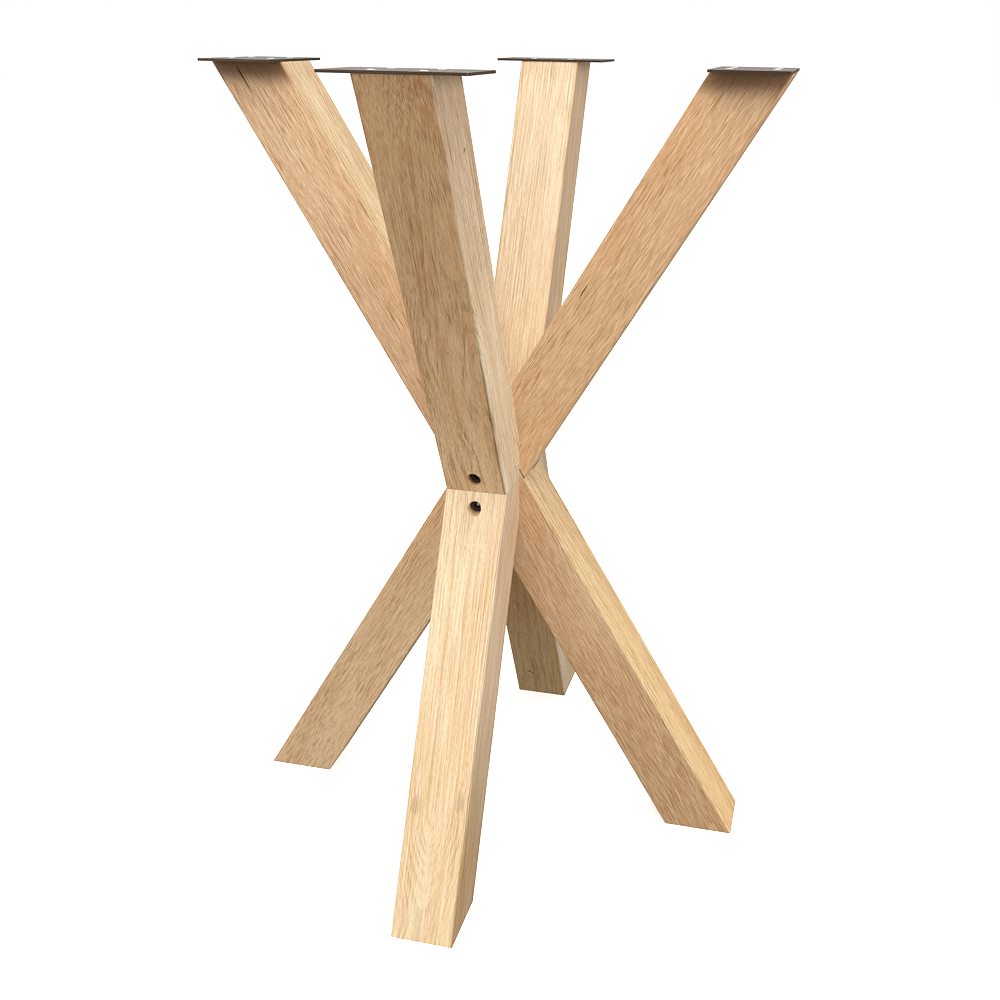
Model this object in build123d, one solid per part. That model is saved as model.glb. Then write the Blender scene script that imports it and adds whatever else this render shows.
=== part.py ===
from build123d import *
import os
from math import acos, atan, atan2, cos, degrees, hypot, radians

# Spider table base in solid oak, millimetres, +Z up, standing on Z = 0 with its middle on the Z axis.
# Two beams lapped into each other make an upright cross in the XZ plane. A bracket of two mitred arms is
# bolted to the front (-Y) and to the back (+Y) of the cross, so that eight arms meet in one knuckle.
# Each upper arm carries a flat steel plate that the table top is screwed to from below.

# Timber
SECTION = 80.0              # side of the square oak bars
OVERALL_HEIGHT = 1010.0     # floor to the top of the plates
SPREAD = 700.0              # across opposite feet, outside to outside, in both planes
KNUCKLE_REACH = 100.0       # from the middle to a bracket's outer faces at mid height
EDGE_RADIUS = 2.0           # eased long edges of the bars

# Top plates
PLATE_LENGTH = 150.0        # across the arm
PLATE_WIDTH = 92.0          # along the arm's cut
PLATE_THICKNESS = 3.0
PLATE_CORNER = 3.0
TOP_HOLE_DIAMETER = 6.5     # holes in the wings, for the screws that go up into the table top
TOP_HOLE_PITCH = 52.0       # between the two holes of one wing

# Raised countersunk screws that hold a plate to its arm
SCREW_PITCH = 52.0          # sides of the square of four screws
SCREW_DIAMETER = 5.0
SCREW_LENGTH = 25.0         # from the plate's top face to the tip
SCREW_HEAD_DIAMETER = 10.0
SCREW_HEAD_RISE = 1.0       # the dome above the plate
SCREW_POINT = 6.0           # length of the pointed end
SCREW_TIP_DIAMETER = 1.0
DRIVE_WIDTH = 3.6           # across the flats of the socket in the head
DRIVE_DEPTH = 1.8

# Bracket bolts and what they screw into
BOLT_DIAMETER = 10.0
BOLT_LENGTH = 70.0          # under the head
BOLT_OFFSET = 20.0          # above and below mid height
BOLT_THREAD_HOLD = 22.0     # how far a bolt reaches into the cross
BOLT_HEAD_DIAMETER = 16.0
BOLT_HEAD_HEIGHT = 10.0
BOLT_SOCKET_WIDTH = 8.0     # across flats
BOLT_SOCKET_DEPTH = 5.0
BOLT_CHAMFER = 1.0
BOLT_HOLE_DIAMETER = 11.0
COUNTERBORE_DIAMETER = 18.0
INSERT_DIAMETER = 18.5
INSERT_LENGTH = 25.0
INSERT_SINK = 1.0           # how far an insert lies below the cross's face
INSERT_CHAMFER = 1.0
INSERT_SLOT_WIDTH = 2.5
INSERT_SLOT_DEPTH = 3.0
HOLE_END_ROOM = 2.0         # spare depth behind an insert, a screw or a dowel

# Dowels across each mitre
DOWEL_DIAMETER = 10.0
DOWEL_LENGTH = 60.0
DOWEL_PITCH = 48.0          # between the two dowels of a mitre
DOWEL_CHAMFER = 1.5

FIT = 0.1                   # radial room round a dowel, an insert and a screw
THREAD_FIT = 0.05           # radial room between a bolt and its insert

# What follows from the sizes above
ARM_HEIGHT = OVERALL_HEIGHT - PLATE_THICKNESS
MID = ARM_HEIGHT / 2
FACE = SECTION / 2
HALF_SPREAD = SPREAD / 2
BAR_LENGTH = 2 * hypot(ARM_HEIGHT, SPREAD)
# A cross beam's middle line passes through the middle, and its outer edge ends at half the spread.
CROSS_LEAN = degrees(acos(FACE / hypot(HALF_SPREAD, MID)) - atan2(MID, HALF_SPREAD))
# A bracket arm's outer face runs from the knuckle's reach at mid height to half the spread at its end.
BRACKET_LEAN = degrees(atan((HALF_SPREAD - KNUCKLE_REACH) / MID))
CROSS_CUT = SECTION / cos(radians(CROSS_LEAN))
BRACKET_CUT = SECTION / cos(radians(BRACKET_LEAN))
BOLT_SEAT = FACE + BOLT_LENGTH - BOLT_THREAD_HOLD
TOP_HOLE_SPAN = (PLATE_LENGTH + SECTION) / 2     # middle of one wing to the middle of the other
DOWEL_REACH = (FACE + KNUCKLE_REACH) / 2         # middle of the mitre, from the middle of the base

# The middle of each upper arm's sawn end, turned so that X runs across the arm and Y the way it leans.
PLATE_PLACES = {
    "left": Pos(CROSS_CUT / 2 - HALF_SPREAD, 0, ARM_HEIGHT) * Rot(0, 0, 90),
    "right": Pos(HALF_SPREAD - CROSS_CUT / 2, 0, ARM_HEIGHT) * Rot(0, 0, -90),
    "front": Pos(0, BRACKET_CUT / 2 - HALF_SPREAD, ARM_HEIGHT) * Rot(0, 0, 180),
    "back": Pos(0, HALF_SPREAD - BRACKET_CUT / 2, ARM_HEIGHT),
}
SCREW_SPOTS = GridLocations(SCREW_PITCH, SCREW_PITCH, 2, 2).locations
TOP_HOLE_SPOTS = GridLocations(TOP_HOLE_SPAN, TOP_HOLE_PITCH, 2, 2).locations

# Turning the front bracket's upper arm over about the Y axis at mid height gives the lower one, and
# turning a bracket about the Z axis gives the other bracket.
TURNED_OVER = Pos(0, 0, MID) * Rot(0, 180, 0) * Pos(0, 0, -MID)
TO_THE_BACK = Rot(0, 0, 180)


def upward(radius, height):
    """A round bar that stands on Z = 0."""
    return Cylinder(radius, height, align=(Align.CENTER, Align.CENTER, Align.MIN))


def widening(low_radius, high_radius, height):
    """A round bar that widens upwards from Z = 0."""
    return Cone(low_radius, high_radius, height, align=(Align.CENTER, Align.CENTER, Align.MIN))


def hexagon(across_flats, height):
    """A hexagonal bar that stands on Z = 0."""
    return extrude(RegularPolygon(across_flats / 2, 6, major_radius=False), height)


def outward(shape, start):
    """Lays a shape that stands on Z = 0 along -Y, from that distance in front of the middle."""
    return Pos(0, -start, 0) * Rot(90, 0, 0) * shape


def oak_bar():
    """A bar with eased long edges, centred on the origin and longer than any arm."""
    bar = Box(SECTION, SECTION, BAR_LENGTH)
    return fillet(bar.edges().filter_by(Axis.Z), EDGE_RADIUS)


def between_floor_and_plates():
    """The room that the timber ends are sawn to, level at both ends."""
    flat = (Align.CENTER, Align.CENTER, Align.MIN)
    return Box(2 * BAR_LENGTH, 2 * BAR_LENGTH, ARM_HEIGHT, align=flat)


def pilot_holes(end):
    """Holes for the four screws in the end of an arm."""
    depth = SCREW_LENGTH - PLATE_THICKNESS + HOLE_END_ROOM
    hole = Pos(0, 0, -depth) * upward(SCREW_DIAMETER / 2 + FIT, depth)
    return [PLATE_PLACES[end] * spot * hole for spot in SCREW_SPOTS]


def insert_holes():
    """The two blind holes for inserts in the front face of the cross."""
    depth = INSERT_SINK + INSERT_LENGTH + HOLE_END_ROOM
    hole = outward(upward(INSERT_DIAMETER / 2 + FIT, depth), FACE - depth)
    return [Pos(0, 0, MID + side * BOLT_OFFSET) * hole for side in (1, -1)]


def cross_beams():
    """The beam that rises to the left, whole at the front, and the one that rises to the right."""
    place = {side: Pos(0, 0, MID) * Rot(0, side * CROSS_LEAN, 0) for side in (-1, 1)}
    bar = oak_bar()
    square_bar = Box(SECTION, SECTION, BAR_LENGTH)
    half = Box(BAR_LENGTH, SECTION, BAR_LENGTH, align=(Align.CENTER, Align.MIN, Align.CENTER))
    rising_left = place[-1] * bar & between_floor_and_plates()
    rising_left -= place[1] * square_bar & Pos(0, 0, MID) * half
    rising_left -= insert_holes() + pilot_holes("left")
    rising_right = place[1] * bar & between_floor_and_plates()
    rising_right -= place[-1] * square_bar & Pos(0, -SECTION, MID) * half
    rising_right -= [TO_THE_BACK * hole for hole in insert_holes()] + pilot_holes("right")
    return rising_left, rising_right


def bracket_arm():
    """The front upper arm, mitred at mid height, flat against the cross and bored for bolt and dowels."""
    outer_face_at_knuckle = Pos(0, -KNUCKLE_REACH, MID) * Rot(BRACKET_LEAN, 0, 0)
    arm = outer_face_at_knuckle * Pos(0, FACE, 0) * oak_bar()
    arm &= Pos(0, -FACE, MID) * Box(
        2 * SECTION, BAR_LENGTH, ARM_HEIGHT - MID, align=(Align.CENTER, Align.MAX, Align.MIN)
    )
    bolt_height = Pos(0, 0, MID + BOLT_OFFSET)
    arm -= bolt_height * outward(upward(BOLT_HOLE_DIAMETER / 2, SPREAD), FACE)
    arm -= bolt_height * outward(upward(COUNTERBORE_DIAMETER / 2, SPREAD), BOLT_SEAT)
    arm -= [spot * dowel_hole() for spot in dowel_spots()]
    return arm


def dowel_spots():
    """The middles of the front mitre's two dowels."""
    return [Pos(side * DOWEL_PITCH / 2, -DOWEL_REACH, MID) for side in (-1, 1)]


def dowel_hole():
    """Room for a dowel and its glue, centred on the mitre."""
    return Cylinder(DOWEL_DIAMETER / 2 + FIT, DOWEL_LENGTH + 2 * HOLE_END_ROOM)


def dowel():
    """A beech dowel with chamfered ends, centred on the mitre."""
    pin = Cylinder(DOWEL_DIAMETER / 2, DOWEL_LENGTH)
    return chamfer(pin.edges().filter_by(GeomType.CIRCLE), DOWEL_CHAMFER)


def bolt():
    """A socket head bolt with its seat on Z = 0 and its head upwards."""
    head = upward(BOLT_HEAD_DIAMETER / 2, BOLT_HEAD_HEIGHT)
    head = chamfer(head.edges().sort_by(Axis.Z)[-1], BOLT_CHAMFER)
    head -= Pos(0, 0, BOLT_HEAD_HEIGHT - BOLT_SOCKET_DEPTH) * hexagon(BOLT_SOCKET_WIDTH, BOLT_HEAD_HEIGHT)
    shank = Pos(0, 0, -BOLT_LENGTH) * upward(BOLT_DIAMETER / 2, BOLT_LENGTH)
    shank = chamfer(shank.edges().sort_by(Axis.Z)[0], BOLT_CHAMFER)
    return head + shank


def insert():
    """A threaded insert with its slotted mouth at the top, flush with Z = 0."""
    barrel = Pos(0, 0, -INSERT_LENGTH) * upward(INSERT_DIAMETER / 2, INSERT_LENGTH)
    barrel = chamfer(barrel.edges().filter_by(GeomType.CIRCLE), INSERT_CHAMFER)
    barrel -= Pos(0, 0, -INSERT_LENGTH) * upward(BOLT_DIAMETER / 2 + THREAD_FIT, INSERT_LENGTH)
    barrel -= Box(2 * INSERT_DIAMETER, INSERT_SLOT_WIDTH, 2 * INSERT_SLOT_DEPTH)
    return barrel


def plate():
    """A top plate with holes in its wings and countersunk screw holes, its underside on Z = 0."""
    blank = RectangleRounded(PLATE_LENGTH, PLATE_WIDTH, PLATE_CORNER)
    sheet = extrude(blank, PLATE_THICKNESS)
    sheet -= [spot * upward(TOP_HOLE_DIAMETER / 2, PLATE_THICKNESS) for spot in TOP_HOLE_SPOTS]
    return sheet - [spot * screw_outline(FIT) for spot in SCREW_SPOTS]


def screw_outline(room):
    """A screw's body up to the plate's top face, with that much room all round it."""
    head, shank = SCREW_HEAD_DIAMETER / 2 + room, SCREW_DIAMETER / 2 + room
    cone = Pos(0, 0, PLATE_THICKNESS - head + shank) * widening(shank, head, head - shank)
    return cone + Pos(0, 0, PLATE_THICKNESS - SCREW_LENGTH) * upward(shank, SCREW_LENGTH)


def screw():
    """A wood screw with a raised countersunk head, where the plate's underside is Z = 0."""
    body = screw_outline(0)
    tip = Pos(0, 0, PLATE_THICKNESS - SCREW_LENGTH)
    blunt_end = tip * upward(SCREW_DIAMETER / 2, SCREW_POINT)
    point = tip * widening(SCREW_TIP_DIAMETER / 2, SCREW_DIAMETER / 2, SCREW_POINT)
    head = SCREW_HEAD_DIAMETER / 2
    dome_radius = (head**2 + SCREW_HEAD_RISE**2) / (2 * SCREW_HEAD_RISE)
    dome = Pos(0, 0, PLATE_THICKNESS + SCREW_HEAD_RISE - dome_radius) * Sphere(dome_radius)
    dome &= Pos(0, 0, PLATE_THICKNESS) * upward(head, SCREW_HEAD_RISE)
    body = body - blunt_end + point + dome
    drive_floor = PLATE_THICKNESS + SCREW_HEAD_RISE - DRIVE_DEPTH
    return body - Pos(0, 0, drive_floor) * hexagon(DRIVE_WIDTH, DRIVE_DEPTH)


def bracket(side, place):
    """The arms, bolts, inserts and dowels of one bracket, by name."""
    upper = bracket_arm()
    upper_bolt = Pos(0, 0, MID + BOLT_OFFSET) * outward(bolt(), BOLT_SEAT)
    upper_insert = Pos(0, 0, MID + BOLT_OFFSET) * outward(insert(), FACE - INSERT_SINK)
    left_spot, right_spot = dowel_spots()
    return {
        f"{side}_upper_arm": place * (upper - pilot_holes("front")),
        f"{side}_lower_arm": place * TURNED_OVER * upper,
        f"{side}_upper_bolt": place * upper_bolt,
        f"{side}_lower_bolt": place * TURNED_OVER * upper_bolt,
        f"{side}_upper_insert": place * upper_insert,
        f"{side}_lower_insert": place * TURNED_OVER * upper_insert,
        f"{side}_left_dowel": place * left_spot * dowel(),
        f"{side}_right_dowel": place * right_spot * dowel(),
    }


def top_pieces():
    """The four plates, and each plate's four screws as one group."""
    pieces = {}
    for end, place in PLATE_PLACES.items():
        pieces[f"{end}_top_plate"] = place * plate()
        pieces[f"{end}_plate_screws"] = Compound(children=[place * spot * screw() for spot in SCREW_SPOTS])
    return pieces


def whole_base():
    """Every piece by name."""
    rising_left, rising_right = cross_beams()
    return {
        "cross_beam_rising_left": rising_left,
        "cross_beam_rising_right": rising_right,
        **bracket("front", Pos(0, 0, 0)),
        **bracket("back", TO_THE_BACK),
        **top_pieces(),
    }


os.makedirs("parts", exist_ok=True)
for name, shape in whole_base().items():
    export_step(shape, f"parts/{name}.step")
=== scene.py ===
from math import acos, atan, atan2, cos, degrees, hypot, radians, sin

import bpy
from mathutils import Matrix, Vector


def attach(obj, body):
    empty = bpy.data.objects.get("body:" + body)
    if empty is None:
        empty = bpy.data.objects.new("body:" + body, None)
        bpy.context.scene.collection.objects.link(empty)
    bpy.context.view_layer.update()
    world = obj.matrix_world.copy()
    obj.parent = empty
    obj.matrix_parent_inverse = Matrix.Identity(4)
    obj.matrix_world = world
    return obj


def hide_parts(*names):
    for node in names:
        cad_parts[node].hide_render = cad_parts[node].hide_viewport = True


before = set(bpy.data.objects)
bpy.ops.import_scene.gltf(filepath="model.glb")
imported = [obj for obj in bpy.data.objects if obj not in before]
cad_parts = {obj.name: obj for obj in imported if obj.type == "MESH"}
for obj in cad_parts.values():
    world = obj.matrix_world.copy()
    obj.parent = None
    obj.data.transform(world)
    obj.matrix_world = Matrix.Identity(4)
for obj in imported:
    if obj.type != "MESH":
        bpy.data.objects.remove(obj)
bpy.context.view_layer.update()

# The oak bars as they were sawn, in millimetres and degrees
SECTION = 80.0
TIMBER_HEIGHT = 1007.0
HALF_SPREAD = 350.0
KNUCKLE_REACH = 100.0
MID = TIMBER_HEIGHT / 2
CROSS_LEAN = degrees(acos(SECTION / 2 / hypot(HALF_SPREAD, MID)) - atan2(MID, HALF_SPREAD))
BRACKET_LEAN = degrees(atan((HALF_SPREAD - KNUCKLE_REACH) / MID))

# The bolts: how far above and below the mitre they run, and how far out their heads sit, in millimetres
BOLT_OFFSET = 20.0
BOLT_SEAT = 88.0

# Edges and faces: lengths in metres, turns in degrees
EASE = 0.0003
ONE_POINT = 0.000005
EASED_ABOVE = 35.0
SMOOTH_BELOW = 40.0
FLAT_BELOW = 0.3

# Settings that many nodes share. SMOOTHLY gives 0 at s1, 1 at s2, and an even curve between them. IN_COLOUR
# lays the colour s7 over the colour s6 by the share s0, and gives it at output 2.
MULTIPLY = {"operation": "MULTIPLY"}
MULTIPLY_ADD = {"operation": "MULTIPLY_ADD"}
SUBTRACT = {"operation": "SUBTRACT"}
ABSOLUTE = {"operation": "ABSOLUTE"}
SMOOTHLY = {"interpolation_type": "SMOOTHSTEP"}
IN_COLOUR = {"data_type": "RGBA"}


def linear(hex_colour):
    """An sRGB hex colour as linear RGB with full alpha."""
    parts = [int(hex_colour[i : i + 2], 16) / 255 for i in (1, 3, 5)]
    return (*[p / 12.92 if p <= 0.04045 else ((p + 0.055) / 1.055) ** 2.4 for p in parts], 1.0)


def add(tree, kind, settings=None, **feeds):
    """Adds a node to a tree, with its settings, and feeds its sockets by index (s0, s1) or by name.

    A node that is fed in gives its first output. The setting "stops" lists the places of a colour ramp, each
    with its hex colour or its grey.
    """
    made = tree.nodes.new(("CompositorNode" if tree.type == "COMPOSITING" else "ShaderNode") + kind)
    for key, value in (settings or {}).items():
        if key == "stops":
            band = made.color_ramp
            while len(band.elements) < len(value):
                band.elements.new(1.0)
            for element, (place, tone) in zip(band.elements, value):
                element.position = place
                element.color = linear(tone) if isinstance(tone, str) else (tone, tone, tone, 1.0)
        else:
            setattr(made, key, value)
    for key, value in feeds.items():
        spoken = key[1:] if key[0] == "s" and key[1:].isdigit() else key.replace("_", " ")
        socket = made.inputs[int(spoken)] if spoken.isdigit() else made.inputs[spoken]
        if isinstance(value, bpy.types.Node):
            tree.links.new(value.outputs[0], socket)
        elif isinstance(value, bpy.types.NodeSocket):
            tree.links.new(value, socket)
        else:
            socket.default_value = value
    return made


def fresh_material(name):
    """An empty material with its output and its main shader."""
    made = bpy.data.materials.new(name)
    made.use_nodes = True
    tree = made.node_tree
    tree.nodes.clear()
    shader = add(tree, "BsdfPrincipled")
    shader.name = "Surface"
    add(tree, "OutputMaterial", Surface=shader)
    return made, tree, shader


def oak(name, middle, lean, heart, face, flank, pale, dark, warm, *, ring, rings, wander, ripple, dashes,
        gleams, runout, strand=60.0, shift=0.0, stripes=None, plate_shadow=0.9, glued=False, lapped=0, knots=(),
        face_span=(MID, -MID), flank_span=(MID, -MID)):
    """European oak, sawn and sanded, under a matt hard-wax oil that leaves it pale and hardly shiny.

    middle is a point on the bar's middle line in mm and lean its turn about X and Y in degrees. heart is
    where the tree's pith runs, in mm across the bar. face is the colour at the bar's top and at its foot, and
    flank the same on its right side; both are partly the wood's own colour and partly painted light, lighter
    or darker along the bar and on the right side as the light falls there. The spans say between which two
    places on the bar's middle line, in mm, the one colour goes over into the other. pale is the colour of
    the fibres that gleam, dark that of the pores and of the spring wood, and warm the tinge that patches of
    the wood have. ring is the width of a year's growth in mm and rings how plainly it shows. wander and
    ripple are how many mm the rings stray over a trunk and over a hand. dashes and gleams are the strength
    of the dark pores and of the pale fibres, and strand is how many mm they run before they end. runout, in
    degrees, is how far the grain leaves the bar's own line, which draws arches on the flat-sawn faces.
    shift takes another trunk. stripes is how plainly the rings show on the right side, where that isn't as
    on the others, and plate_shadow how dark the painted shadow of the steel plate is on the faces just under
    it, hardly on the right side. glued draws the thin glue line of a mitre, and lapped, -1 at the front and 1
    at the back, paints shade as a dark line at the shoulders where the cross's other beam is let in. Each of
    the knots is its spot on the bar, its reach across and along the grain and how far it pushes the rings
    aside, all in mm, and how dark its core is.
    """
    made, tree, shader = fresh_material(name)
    place = add(tree, "TexCoord").outputs["Object"]
    # The bar's own axes in mm, and the same turned to the line of its grain
    bar, along = [
        add(tree, "Mapping", {"vector_type": "TEXTURE"}, s0=place, Location=[m / 1000 for m in middle],
            Rotation=[radians(lean[0] + off[0]), radians(lean[1] + off[1]), 0.0], Scale=(0.001, 0.001, 0.001))
        for off in ((0.0, 0.0), runout)]

    def lumps(source, across, length, detail, start=0.0):
        """Noise whose lumps are so many mm across the grain and so many along it."""
        spot = add(tree, "VectorMath", MULTIPLY_ADD, s0=source, s1=(1 / across, 1 / across, 1 / length),
                   s2=(start + shift, start * 0.7, shift * 1.3))
        return add(tree, "TexNoise", Vector=spot, Scale=1.0, Detail=detail, Roughness=0.55)

    def strayed(source, noise, reach):
        """The source point moved across the grain by up to half the reach, in mm."""
        middling = add(tree, "VectorMath", SUBTRACT, s0=noise.outputs["Color"], s1=(0.5, 0.5, 0.5))
        return add(tree, "VectorMath", MULTIPLY_ADD, s0=middling, s1=(reach, reach, 0), s2=source)

    # How far a point lies from the pith, with the knots' swellings, gives the year it grew in
    trunk = strayed(along, lumps(along, 120, 520, 2.0), 2 * wander)
    fibre = strayed(trunk, lumps(along, 16, 120, 2.0, 4.0), 2 * ripple)
    flat = add(tree, "VectorMath", MULTIPLY, s0=fibre, s1=(1, 1, 0))
    out = add(tree, "VectorMath", {"operation": "DISTANCE"}, s0=flat, s1=(*heart, 0)).outputs["Value"]
    cores = []
    for spot, across, length, push, depth in knots:
        gap = add(tree, "VectorMath", SUBTRACT, s0=bar, s1=spot)
        gap = add(tree, "VectorMath", MULTIPLY, s0=gap, s1=(1 / across, 1 / across, 1 / length))
        gap = add(tree, "VectorMath", {"operation": "LENGTH"}, s0=gap).outputs["Value"]
        swelling = add(tree, "MapRange", SMOOTHLY, Value=gap, s1=1.0, s2=0.0)
        out = add(tree, "Math", MULTIPLY_ADD, s0=swelling, s1=push, s2=out)
        core = add(tree, "MapRange", SMOOTHLY, Value=gap, s1=0.45, s2=0.2)
        cores.append(((core, depth), "#4E3018"))
    count = add(tree, "Math", MULTIPLY, s0=out, s1=1 / ring)
    slower = add(tree, "Math", MULTIPLY, s0=count, s1=0.37)
    uneven = add(tree, "TexNoise", {"noise_dimensions": "1D"}, W=slower, Scale=1.0, Detail=1.0)
    years = add(tree, "Math", MULTIPLY_ADD, s0=uneven, s1=2.2, s2=count)
    year = add(tree, "Math", {"operation": "FRACT"}, s0=years)
    # Spring wood is full of wide pores and turns dark at once, then gives way to the dense summer wood
    growth = [(0.0, 0.0), (0.1, 1.0), (0.4, 0.75), (0.62, 0.05), (1.0, 0.0)]
    spring = add(tree, "ValToRGB", {"stops": growth}, s0=year)
    # Pores are 0.3 mm wide, too fine for the picture, so they and the fibres are drawn about 1 mm wide, in
    # long rows. Each pattern has its lumps across and along in mm, its detail, its start, and its fade-in.
    pores, flecks, patch, fibres, tinge = [
        add(tree, "MapRange", SMOOTHLY, Value=lumps(source, across, length, detail, start), s1=low, s2=high)
        for source, across, length, detail, start, low, high in (
            (fibre, 1.3, strand, 0.0, 0.0, 0.54, 0.60),
            (fibre, 1.6, 7, 0.0, 9.0, 0.42, 0.68),
            (along, 26, 130, 2.0, 11.0, 0.30, 0.62),
            (fibre, 1.3, strand, 0.0, 7.0, 0.53, 0.60),
            (along, 30, 260, 2.0, 3.0, 0.36, 0.64),
        )]
    # The pores crowd in the patches and in the spring wood, and never quite leave the rest
    crowd = add(tree, "Math", MULTIPLY_ADD, s0=patch, s1=0.7, s2=0.3)
    pits = add(tree, "Math", MULTIPLY_ADD, s0=spring, s1=0.6, s2=0.4)
    pits = add(tree, "Math", MULTIPLY, s0=pores, s1=pits)
    pits = add(tree, "Math", MULTIPLY, s0=pits, s1=crowd)

    spots = add(tree, "SeparateXYZ", s0=bar).outputs
    right_side = add(tree, "MapRange", SMOOTHLY, Value=spots["X"], s1=SECTION / 2 - 4, s2=SECTION / 2 - 1)
    # Painted light: the tones from top to foot and on the right side carry light and shade as well as the
    # wood's own colour
    face_colour, flank_colour = [
        add(tree, "Mix", IN_COLOUR, s6=linear(top), s7=linear(foot),
            s0=add(tree, "MapRange", SMOOTHLY, Value=spots["Z"], s1=span[0], s2=span[1])).outputs[2]
        for span, (top, foot) in ((face_span, face), (flank_span, flank))]
    colour = add(tree, "Mix", IN_COLOUR, s0=right_side, s6=face_colour, s7=flank_colour).outputs[2]
    tinting = {"data_type": "RGBA", "blend_type": "MULTIPLY"}
    colour = add(tree, "Mix", tinting, s0=tinge, s6=colour, s7=linear(warm)).outputs[2]
    shown = add(tree, "MapRange", Value=right_side, s3=rings, s4=rings if stripes is None else stripes)
    _, inward, level = add(tree, "SeparateXYZ", s0=place).outputs
    # Painted shadow of the steel plate: dark brown painted on the faces just under the plate, but hardly on
    # the right side
    plate_shadow_band = add(tree, "MapRange", SMOOTHLY, Value=level, s1=(TIMBER_HEIGHT - 31) / 1000,
                  s2=(TIMBER_HEIGHT - 10) / 1000)
    plate_shadow_depth = add(tree, "MapRange", Value=right_side, s3=plate_shadow, s4=plate_shadow / 10)

    # What lies over the wood's colour, from the lowest: the factors of its share, and its own colour
    layers = [
        ((spring, crowd, shown), dark),
        ((flecks, 0.18), dark),
        ((fibres, gleams), pale),
        ((pits, dashes), dark),
        *cores,
        ((plate_shadow_band, plate_shadow_depth), "#765230"),
    ]
    if glued:
        off = add(tree, "Math", SUBTRACT, s0=level, s1=MID / 1000)
        off = add(tree, "Math", ABSOLUTE, s0=off)
        seam = add(tree, "MapRange", SMOOTHLY, Value=off, s1=0.0009, s2=0.0004)
        layers.append(((seam, 0.35), "#8A6238"))
    # Painted shade: a dark line along the shoulders where the cross's other beam is let in, on the face that
    # lapped gives
    if lapped:
        lean_across = radians(lean[1])
        aside = add(tree, "VectorMath", {"operation": "DOT_PRODUCT"}, s0=place,
                    s1=(cos(lean_across), 0, sin(lean_across))).outputs["Value"]
        aside = add(tree, "Math", SUBTRACT, s0=aside, s1=MID / 1000 * sin(lean_across))
        aside = add(tree, "Math", ABSOLUTE, s0=aside)
        beyond = add(tree, "Math", SUBTRACT, s0=aside, s1=SECTION / 2000)
        beyond = add(tree, "Math", ABSOLUTE, s0=beyond)
        shoulder = add(tree, "MapRange", SMOOTHLY, Value=beyond, s1=0.0018, s2=0.0009)
        facing = add(tree, "Math", MULTIPLY, s0=inward, s1=lapped)
        faced = add(tree, "MapRange", SMOOTHLY, Value=facing, s1=0.0, s2=0.001)
        layers.append(((shoulder, faced, 0.7), "#3E2614"))
    for (share, *factors), tone in layers:
        for factor in factors:
            share = add(tree, "Math", MULTIPLY, s0=share, s1=factor)
        colour = add(tree, "Mix", IN_COLOUR, s0=share, s6=colour, s7=linear(tone)).outputs[2]
    tree.links.new(colour, shader.inputs["Base Color"])
    dull = add(tree, "MapRange", Value=pits, s3=0.52, s4=0.75)
    tree.links.new(dull.outputs[0], shader.inputs["Roughness"])
    dents = add(tree, "Bump", {"invert": True}, Strength=0.5, Distance=0.0004, Height=pits)
    tree.links.new(dents.outputs[0], shader.inputs["Normal"])
    return made


def steel_sheet():
    """Hot-rolled steel sheet, laser cut and left raw: grey mill scale with streaks and a brownish cast."""
    made, tree, shader = fresh_material("hot rolled steel")
    place = add(tree, "TexCoord").outputs["Object"]
    # Clouds of 18 mm in the mill scale, under streaks that run along the sheet
    clouds = add(tree, "TexNoise", Vector=place, Scale=55.0, Detail=4.0, Roughness=0.6)
    stretched = add(tree, "Mapping", s0=place, Scale=(60, 900, 60))
    rolled = add(tree, "TexNoise", Vector=stretched, Scale=1.0, Detail=2.0)
    scale = add(tree, "Mix", {"data_type": "FLOAT"}, s0=0.35, s2=clouds, s3=rolled)
    tint = add(tree, "ValToRGB", {"stops": [(0.3, "#726B66"), (0.5, "#8E8680"), (0.7, "#A59D96")]}, s0=scale)
    # The laser leaves the edges brown with oxide
    facing = add(tree, "SeparateXYZ", s0=add(tree, "NewGeometry").outputs["True Normal"]).outputs["Z"]
    facing = add(tree, "Math", ABSOLUTE, s0=facing)
    edge = add(tree, "MapRange", Value=facing, s1=0.9, s2=0.4)
    colour = add(tree, "Mix", IN_COLOUR, s0=edge, s6=tint, s7=linear("#5A473B"))
    tree.links.new(colour.outputs[2], shader.inputs["Base Color"])
    shader.inputs["Metallic"].default_value = 0.85
    rough = add(tree, "MapRange", Value=scale, s1=0.3, s2=0.7, s3=0.38, s4=0.55)
    tree.links.new(rough.outputs[0], shader.inputs["Roughness"])
    # Grit of 1.4 mm
    grit = add(tree, "TexNoise", Vector=place, Scale=700.0, Detail=2.0)
    bumps = add(tree, "Bump", Strength=0.12, Distance=0.0001, Height=grit)
    tree.links.new(bumps.outputs[0], shader.inputs["Normal"])
    return made


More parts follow.
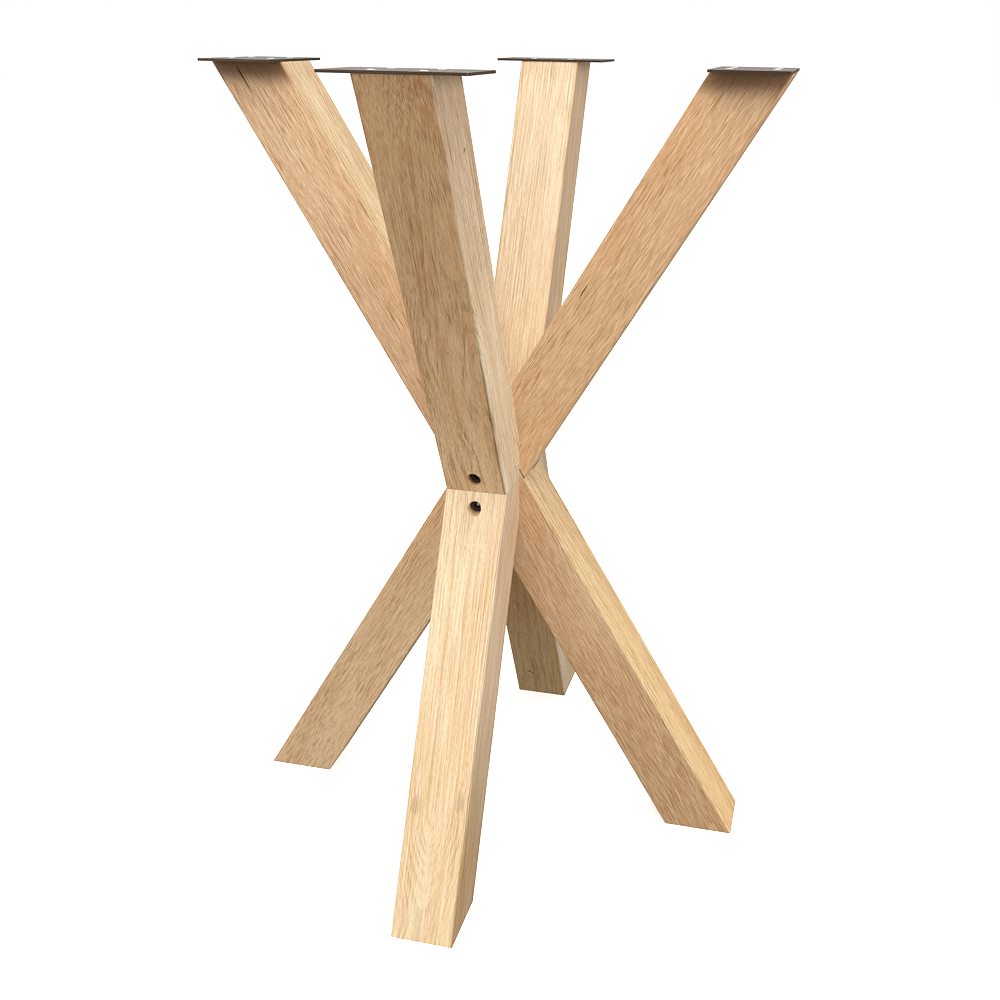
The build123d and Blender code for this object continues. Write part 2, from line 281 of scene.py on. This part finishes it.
def black_bolt():
    """Alloy steel under black oxide: nearly black and satin, with a faint violet cast."""
    made, tree, shader = fresh_material("black oxide steel")
    place = add(tree, "TexCoord").outputs["Object"]
    # Wear in spots of 2.4 mm
    wear = add(tree, "TexNoise", Vector=place, Scale=420.0, Detail=3.0)
    tint = add(tree, "ValToRGB", {"stops": [(0.35, "#3E363C"), (0.65, "#5C5259")]}, s0=wear)
    # Painted highlight: the socket's bottom, 2 mm round the bolt's own line, is painted bright for its glint
    across, _, up = add(tree, "SeparateXYZ", s0=place).outputs
    up = add(tree, "Math", SUBTRACT, s0=up, s1=MID / 1000)
    up = add(tree, "Math", ABSOLUTE, s0=up)
    up = add(tree, "Math", SUBTRACT, s0=up, s1=BOLT_OFFSET / 1000)
    off = add(tree, "CombineXYZ", X=across, Z=up)
    off = add(tree, "VectorMath", {"operation": "LENGTH"}, s0=off).outputs["Value"]
    socket_glint = add(tree, "MapRange", Value=off, s1=0.0026, s2=0.0018)
    colour = add(tree, "Mix", IN_COLOUR, s0=socket_glint, s6=tint, s7=linear("#D6CDD0"))
    tree.links.new(colour.outputs[2], shader.inputs["Base Color"])
    shader.inputs["Metallic"].default_value = 0.9
    rough = add(tree, "MapRange", Value=wear, s1=0.3, s2=0.7, s3=0.28, s4=0.42)
    tree.links.new(rough.outputs[0], shader.inputs["Roughness"])
    return made


def zinc_plate(name, roughness):
    """Bright zinc plating: blue-white and shiny, with a faint cloudiness."""
    made, tree, shader = fresh_material(name)
    place = add(tree, "TexCoord").outputs["Object"]
    # Clouds of 3.3 mm
    cloud = add(tree, "TexNoise", Vector=place, Scale=300.0, Detail=3.0)
    tint = add(tree, "ValToRGB", {"stops": [(0.35, "#EEF0F2"), (0.65, "#FFFFFF")]}, s0=cloud)
    tree.links.new(tint.outputs[0], shader.inputs["Base Color"])
    shader.inputs["Metallic"].default_value = 0.7
    rough = add(tree, "MapRange", Value=cloud, s1=0.3, s2=0.7, s3=roughness - 0.05, s4=roughness + 0.08)
    tree.links.new(rough.outputs[0], shader.inputs["Roughness"])
    return made


def beech():
    """Turned beech: pale pinkish brown with short fine flecks."""
    made, tree, shader = fresh_material("turned beech")
    place = add(tree, "TexCoord").outputs["Object"]
    stretched = add(tree, "Mapping", s0=place, Scale=(1200, 1200, 150))
    fleck = add(tree, "TexNoise", Vector=stretched, Scale=1.0, Detail=2.0)
    tint = add(tree, "ValToRGB", {"stops": [(0.4, "#D8B48C"), (0.62, "#C2946A")]}, s0=fleck)
    tree.links.new(tint.outputs[0], shader.inputs["Base Color"])
    shader.inputs["Roughness"].default_value = 0.6
    return made


def finish_node(node, material):
    """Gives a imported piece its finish."""
    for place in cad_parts[node].material_slots:
        place.material = material


def grasp(piece):
    """Makes a piece the only one selected, with nothing selected on it."""
    bpy.ops.object.select_all(action="DESELECT")
    bpy.context.view_layer.objects.active = piece
    piece.select_set(True)
    bpy.ops.object.mode_set(mode="EDIT")
    bpy.ops.mesh.select_mode(type="VERT")
    bpy.ops.mesh.select_all(action="DESELECT")
    bpy.ops.object.mode_set(mode="OBJECT")


def select_points(piece, wanted):
    """Grasps a piece, selects its points for which wanted(point) is true, and opens it for editing."""
    grasp(piece)
    for point in piece.data.vertices:
        point.select = bool(wanted(point.co))
    bpy.ops.object.mode_set(mode="EDIT")


def join_points(piece, reach):
    """Grasps a piece, opens it for editing, selects all of it and joins the points that lie within reach."""
    grasp(piece)
    bpy.ops.object.mode_set(mode="EDIT")
    bpy.ops.mesh.select_all(action="SELECT")
    bpy.ops.mesh.remove_doubles(threshold=reach)


def modify(piece, kind, **settings):
    """Adds a modifier with its settings and applies it."""
    made = piece.modifiers.new(kind.lower(), kind)
    for key, value in settings.items():
        setattr(made, key, value)
    bpy.context.view_layer.objects.active = piece
    bpy.ops.object.modifier_apply(modifier=made.name)


def carve(piece, tool):
    """Cuts the shape of a tool out of a piece and puts the tool away."""
    modify(piece, "BOOLEAN", operation="DIFFERENCE", object=tool, solver="EXACT")
    bpy.data.objects.remove(tool)


def smooth(piece):
    """Shades the rounded parts smooth and keeps the flat ones flat."""
    join_points(piece, 2 * ONE_POINT)
    bpy.ops.object.mode_set(mode="OBJECT")
    bpy.ops.object.shade_smooth_by_angle(angle=radians(SMOOTH_BELOW))
    modify(piece, "WEIGHTED_NORMAL", keep_sharp=True)


def eased_copy(node):
    """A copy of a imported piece, its triangles joined into faces and its edges eased, which stands for it."""
    made = bpy.data.objects.new(node + "_eased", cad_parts[node].data.copy())
    bpy.context.scene.collection.objects.link(made)
    grasp(made)
    bpy.ops.mesh.customdata_custom_splitnormals_clear()
    join_points(made, ONE_POINT)
    bpy.ops.mesh.dissolve_limited(angle_limit=radians(FLAT_BELOW))
    bpy.ops.object.mode_set(mode="OBJECT")
    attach(made, "root")
    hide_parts(node)
    modify(made, "BEVEL", width=EASE, segments=2, limit_method="ANGLE", angle_limit=radians(EASED_ABOVE))
    return made


def drying_check(timber, middle, lean, spot, length, width, depth):
    """Opens a thin pointed crack along the grain, at a spot on a bar's face, all in mm."""
    bpy.ops.object.select_all(action="DESELECT")
    bpy.ops.mesh.primitive_uv_sphere_add(segments=10, ring_count=16, radius=0.001)
    gouge = bpy.context.object
    gouge.scale = (width / 2, depth, length / 2)
    turn = Matrix.Rotation(radians(lean[1]), 3, "Y") @ Matrix.Rotation(radians(lean[0]), 3, "X")
    gouge.rotation_euler = turn.to_euler()
    # The gouge's middle lies a tenth of its depth outside the face
    outward = Vector((0, -depth / 10, 0))
    gouge.location = (Vector(middle) + turn @ (Vector(spot) + outward)) / 1000
    bpy.context.view_layer.update()
    carve(timber, gouge)


def socket_bolt():
    """An M10 socket head bolt with its seat on Z = 0 and its head upwards, knurled for the fingers."""
    # In metres
    head_radius, head_height, rim = 0.008, 0.010, 0.0009
    shoulder, plain_shank, half_pitch, tip = 0.0031, 0.0430, 0.0008, 0.0012
    across_flats = 0.008
    hexagon = across_flats / 2 / cos(radians(30))
    near = 0.0001
    # The share of the radius that is left in the thread's bottom, at the shank's end and in the knurls
    root, tip_end, pressed = 0.83, 0.78, 0.965
    threads = 16
    # In degrees round the head
    knurl_step = 5
    middle = {"center_override": (0, 0, 0)}
    bpy.ops.object.select_all(action="DESELECT")
    bpy.ops.mesh.primitive_cylinder_add(
        vertices=360 // knurl_step, radius=head_radius, depth=head_height, location=(0, 0, head_height / 2))
    bpy.ops.object.transform_apply(location=True)
    made = bpy.context.object
    select_points(made, lambda at: at.z > head_height - near)
    bpy.ops.mesh.inset(thickness=rim)
    bpy.ops.object.mode_set(mode="OBJECT")
    select_points(made, lambda at: at.z > head_height - near and hypot(at.x, at.y) > head_radius - near)
    bpy.ops.transform.translate(value=(0, 0, -rim))
    bpy.ops.object.mode_set(mode="OBJECT")
    # The shank, its thread drawn as rings of about the right depth and pitch, and its narrowed end
    select_points(made, lambda at: at.z < near)
    bpy.ops.mesh.inset(thickness=shoulder)
    bpy.ops.mesh.extrude_region_move(TRANSFORM_OT_translate={"value": (0, 0, -plain_shank)})
    for width in (root, 1 / root) * threads:
        bpy.ops.mesh.extrude_region_move(TRANSFORM_OT_translate={"value": (0, 0, -half_pitch)})
        bpy.ops.transform.resize(value=(width, width, 1), **middle)
    bpy.ops.mesh.extrude_region_move(TRANSFORM_OT_translate={"value": (0, 0, -tip)})
    bpy.ops.transform.resize(value=(tip_end, tip_end, 1), **middle)
    bpy.ops.object.mode_set(mode="OBJECT")
    # Every second upright edge of the head is pressed in
    select_points(made, lambda at: at.z > -near and hypot(at.x, at.y) > head_radius - 2 * near
                  and round(degrees(atan2(at.y, at.x)) / knurl_step) % 2)
    bpy.ops.transform.resize(value=(pressed, pressed, 1), **middle)
    bpy.ops.object.mode_set(mode="OBJECT")
    # The coned mouth of the socket, its hexagon and the drill's point at its bottom: each has its sides, its
    # radius below and above, its height and the Z of its middle
    for sides, below, above, height, level in (
        (48, 0.0039, 0.0051, 0.0012, 0.0099),
        (6, hexagon, hexagon, 0.010, 0.010),
        (48, 0.0, 0.0038, 0.0016, 0.0043),
    ):
        bpy.ops.mesh.primitive_cone_add(
            vertices=sides, radius1=below, radius2=above, depth=height, location=(0, 0, level))
        carve(made, bpy.context.object)
    join_points(made, ONE_POINT)
    bpy.ops.mesh.normals_make_consistent(inside=False)
    bpy.ops.object.mode_set(mode="OBJECT")
    smooth(made)
    return made


knuckle = (0.0, 0.0, MID)
rising_left, rising_right = (0, -CROSS_LEAN), (0, CROSS_LEAN)
front_line = (0.0, -KNUCKLE_REACH + SECTION / 2 / cos(radians(BRACKET_LEAN)), MID)
back_line = (0.0, -front_line[1], MID)

finish_node("cross_beam_rising_left", oak(
    "oak, beam rising left", knuckle, rising_left, (-240, -190),
    face=("#DFBA91", "#C9A175"), flank=("#CCB892", "#E9C790"), pale="#FBE4BE", dark="#9A6534", warm="#FAF0E8",
    ring=3.4, rings=0.1, wander=9.0, ripple=0.3, strand=23.0, dashes=0.5, gleams=0.3, runout=(0.4, 0.5),
    stripes=0.45, face_span=(-150, -560), lapped=1))

finish_node("cross_beam_rising_right", oak(
    "oak, beam rising right", knuckle, rising_right, (220, -170),
    face=("#DAB186", "#E9C89C"), flank=("#DDB68C", "#E4BF98"), pale="#FBE2BA", dark="#9A6534", warm="#FAF0E8",
    ring=3.6, rings=0.1, wander=9.0, ripple=0.3, strand=23.0, dashes=0.5, gleams=0.3, runout=(-0.4, 0.6),
    shift=20.0, stripes=0.3, plate_shadow=0.85, face_span=(MID, -200), lapped=-1))

# A knot by the plate, two soft swirls at the front, and the dark streak beside the right edge in four lengths
finish_node("front_upper_arm", oak(
    "oak, front upper arm", front_line, (BRACKET_LEAN, 0), (70, -170),
    face=("#D5AA79", "#F7D3A3"), flank=("#D7C0A1", "#F6E8CC"), pale="#EFD2A8", dark="#845632", warm="#F0E2D4",
    ring=4.6, rings=0.22, wander=34.0, ripple=2.4, strand=40.0, dashes=0.45, gleams=0.3, runout=(1.2, -0.6),
    shift=40.0, stripes=0.35, plate_shadow=0.08, glued=True, face_span=(MID, 0), flank_span=(480, 240),
    knots=(
        ((40, 12, 474), 14, 5, 1, 0.6),
        ((46, -40, 330), 44, 62, 9, 0),
        ((-30, -40, 250), 34, 110, -7, 0),
        ((37.0, -40, 205), 4.5, 130, 0, 0.42),
        ((36.4, -40, 140), 4.5, 130, 0, 0.42),
        ((36.8, -40, 78), 4.5, 130, 0, 0.42),
        ((37.4, -40, 15), 4.5, 130, 0, 0.42),
    )))

# The pointed figure at the foot, with two faint dark spots above it
finish_node("front_lower_arm", oak(
    "oak, front lower arm", front_line, (-BRACKET_LEAN, 0), (-6, -62),
    face=("#EBD1AC", "#ECD4AA"), flank=("#DDC5A6", "#B1915E"), pale="#FFF2DA", dark="#AC7A44", warm="#FAEEE5",
    ring=3.3, rings=0.26, wander=8.0, ripple=0.2, strand=90.0, dashes=0.28, gleams=0.3, runout=(-0.3, 0.2),
    shift=60.0, stripes=0.6, glued=True, flank_span=(-250, -MID),
    knots=(
        ((0, -40, -560), 110, 150, 22, 0),
        ((-28, -40, -418), 18, 36, 4, 0.22),
        ((28, -40, -407), 18, 36, 4, 0.2),
    )))

finish_node("back_upper_arm", oak(
    "oak, back upper arm", back_line, (-BRACKET_LEAN, 0), (-190, 60),
    face=("#D6C2A4", "#E9D8BB"), flank=("#D0B493", "#CDB28F"), pale="#FFEFD4", dark="#B08048", warm="#FAF2E6",
    ring=3.8, rings=0.26, wander=12.0, ripple=0.3, dashes=0.42, gleams=0.25, runout=(0.8, 0.4),
    shift=80.0, plate_shadow=0.1, glued=True, face_span=(MID, 0)))

# Two small knots side by side near the foot
finish_node("back_lower_arm", oak(
    "oak, back lower arm", back_line, (BRACKET_LEAN, 0), (-60, 120),
    face=("#D8B782", "#D8B782"), flank=("#CDB390", "#D5C1A5"), pale="#DFC398", dark="#6E4C28", warm="#F4E8D8",
    ring=4.0, rings=0.2, wander=15.0, ripple=0.4, strand=30.0, dashes=0.35, gleams=0.3, runout=(0.7, -0.4),
    shift=100.0, glued=True,
    knots=(
        ((-15, -40, -482), 5, 6, 2, 0.9),
        ((-9.5, -40, -485), 4.5, 5, 2, 0.9),
    )))

sheet_steel = steel_sheet()
bolt_steel = black_bolt()
beech_wood = beech()
screw_zinc = zinc_plate("zinc plated screw", 0.22)
insert_zinc = zinc_plate("zinc plated insert", 0.32)
for end in ("left", "right", "front", "back"):
    finish_node(f"{end}_top_plate", sheet_steel)
    finish_node(f"{end}_plate_screws", screw_zinc)
    smooth(eased_copy(f"{end}_top_plate"))
for side in ("front", "back"):
    for level in ("upper", "lower"):
        finish_node(f"{side}_{level}_bolt", bolt_steel)
        finish_node(f"{side}_{level}_insert", insert_zinc)
    for hand in ("left", "right"):
        finish_node(f"{side}_{hand}_dowel", beech_wood)

# The sawn ends, shoulders and holes of every timber are eased, as glass paper leaves them
eased = {}
for node, slot in (
    ("cross_beam_rising_left", "oak_cross"), ("cross_beam_rising_right", "oak_cross"),
    ("front_upper_arm", "oak_bracket"), ("front_lower_arm", "oak_bracket"),
    ("back_upper_arm", "oak_bracket"), ("back_lower_arm", "oak_bracket"),
):
    eased[node] = eased_copy(node)
# Each drying check has its spot on the bar, and its length, width and depth
for node, lean, spot, *size in (
    ("cross_beam_rising_left", rising_left, (-14.6, -40.0, 572.5), 38.0, 2.0, 4.0),
    ("cross_beam_rising_left", rising_left, (36.0, -40.0, 368.0), 30.0, 1.2, 3.0),
    ("cross_beam_rising_right", rising_right, (-26.7, -40.0, 276.0), 20.0, 2.0, 3.0),
):
    drying_check(eased[node], knuckle, lean, spot, *size)
for timber in eased.values():
    smooth(timber)

pattern = socket_bolt()
for side, about in (("front", 0), ("back", 180)):
    for level, height in (("upper", MID + BOLT_OFFSET), ("lower", MID - BOLT_OFFSET)):
        bolt = bpy.data.objects.new(f"{side}_{level}_bolt_knurled", pattern.data.copy())
        bpy.context.scene.collection.objects.link(bolt)
        bolt.data.transform(
            Matrix.Rotation(radians(about), 4, "Z")
            @ Matrix.Translation((0, -BOLT_SEAT / 1000, height / 1000))
            @ Matrix.Rotation(radians(90), 4, "X"))
        bolt.data.materials.append(bolt_steel)
        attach(bolt, "root")
        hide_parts(f"{side}_{level}_bolt")
bpy.data.objects.remove(pattern)


def camera():
    """The photograph's view: from the front, a little to the right and above, rolled by under a degree."""
    place = (0.41266, -1.42369, 1.04518)
    turn, rise, roll = radians(13.167), radians(21.842), radians(0.911)
    back = Vector((sin(turn) * cos(rise), -cos(turn) * cos(rise), sin(rise)))
    right = Vector((cos(turn), sin(turn), 0.0))
    up = back.cross(right)
    across = right * cos(roll) + up * sin(roll)
    upward = up * cos(roll) - right * sin(roll)
    lens = bpy.data.cameras.new("camera")
    lens.sensor_width = 36.0
    lens.lens = 42.22
    lens.shift_x, lens.shift_y = -0.0554, 0.002
    made = bpy.data.objects.new("camera", lens)
    bpy.context.scene.collection.objects.link(made)
    facing = Matrix((across, upward, back)).transposed().to_4x4()
    made.matrix_world = Matrix.Translation(place) @ facing
    bpy.context.scene.camera = made


def soft_light(name, place, target, size, power, tint="#FFFFFF"):
    """A square soft box that looks at a point, with its places and size in metres and its power in watts."""
    box = bpy.data.lights.new(name, "AREA")
    box.shape = "SQUARE"
    box.size, box.energy, box.color = size, power, linear(tint)[:3]
    made = bpy.data.objects.new(name, box)
    bpy.context.scene.collection.objects.link(made)
    made.location = place
    made.rotation_euler = (Vector(target) - Vector(place)).to_track_quat("-Z", "Y").to_euler()
    return made


def studio():
    """A plain pale floor, four soft boxes and even light from all round, weaker from below."""
    bpy.ops.mesh.primitive_plane_add(size=40.0, location=(0, 0, 0))
    floor = bpy.context.object
    floor.name = "floor"
    pale_floor, _, shader = fresh_material("pale floor")
    shader.inputs["Base Color"].default_value = (0.9, 0.9, 0.9, 1.0)
    shader.inputs["Roughness"].default_value = 0.9
    shader.inputs["Emission Color"].default_value = (1.0, 1.0, 1.0, 1.0)
    shader.inputs["Emission Strength"].default_value = 0.55
    floor.data.materials.append(pale_floor)
    floor.visible_diffuse = floor.visible_glossy = False
    soft_light("overhead", (-0.1, -0.8, 2.8), (0, 0, 0.6), 2.4, 50.0, "#FFFBF4")
    soft_light("right", (3.6, -1.7, 1.5), (0, 0, 0.7), 2.2, 84.0)
    soft_light("left", (-2.4, -2.8, 1.9), (0, 0, 0.7), 1.8, 32.0)
    # The lamp behind would whiten the plates' mill scale, which the camera meets at a glancing angle
    soft_light("back", (0.4, 3.0, 2.6), (0, 0, 0.7), 1.8, 30.0).visible_glossy = False

    world = bpy.data.worlds.new("studio")
    bpy.context.scene.world = world
    world.use_nodes = True
    tree = world.node_tree
    tree.nodes.clear()
    way = add(tree, "TexCoord").outputs["Generated"]
    height = add(tree, "SeparateXYZ", s0=way).outputs["Z"]
    level = add(tree, "MapRange", Value=height, s1=-1.0, s2=1.0, s3=0.0, s4=1.0)
    greys = [(0.0, 0.22), (0.45, 0.36), (0.55, 0.60), (1.0, 0.62)]
    sky = add(tree, "ValToRGB", {"stops": greys}, s0=level)
    lit = add(tree, "Background", Color=sky, Strength=1.0)
    seen = add(tree, "Background", Color=(1, 1, 1, 1), Strength=1.0)
    chosen = add(tree, "MixShader", s0=add(tree, "LightPath").outputs["Is Camera Ray"], s1=lit, s2=seen)
    add(tree, "OutputWorld", Surface=chosen)


def crisp_lens(scene):
    """The slight crispness that a print gives fine grain, worked on the tones as they are shown."""
    screen_gamma = 2.2
    crispness = 0.2
    clamped = {"use_clamp": True}
    scene.use_nodes = True
    tree = scene.node_tree
    tree.nodes.clear()
    seen = add(tree, "RLayers")
    within = add(tree, "MixRGB", clamped, s0=0.0, s1=seen)
    shown_tones = add(tree, "Gamma", Image=within, Gamma=1 / screen_gamma)
    crisp = add(tree, "Filter", {"filter_type": "SHARPEN_DIAMOND"}, Image=shown_tones, Fac=crispness)
    kept = add(tree, "MixRGB", clamped, s0=0.0, s1=crisp)
    true_tones = add(tree, "Gamma", Image=kept, Gamma=screen_gamma)
    add(tree, "Composite", Image=true_tones)


camera()
studio()
crisp_lens(bpy.context.scene)
bpy.context.scene.view_settings.view_transform = "Standard"
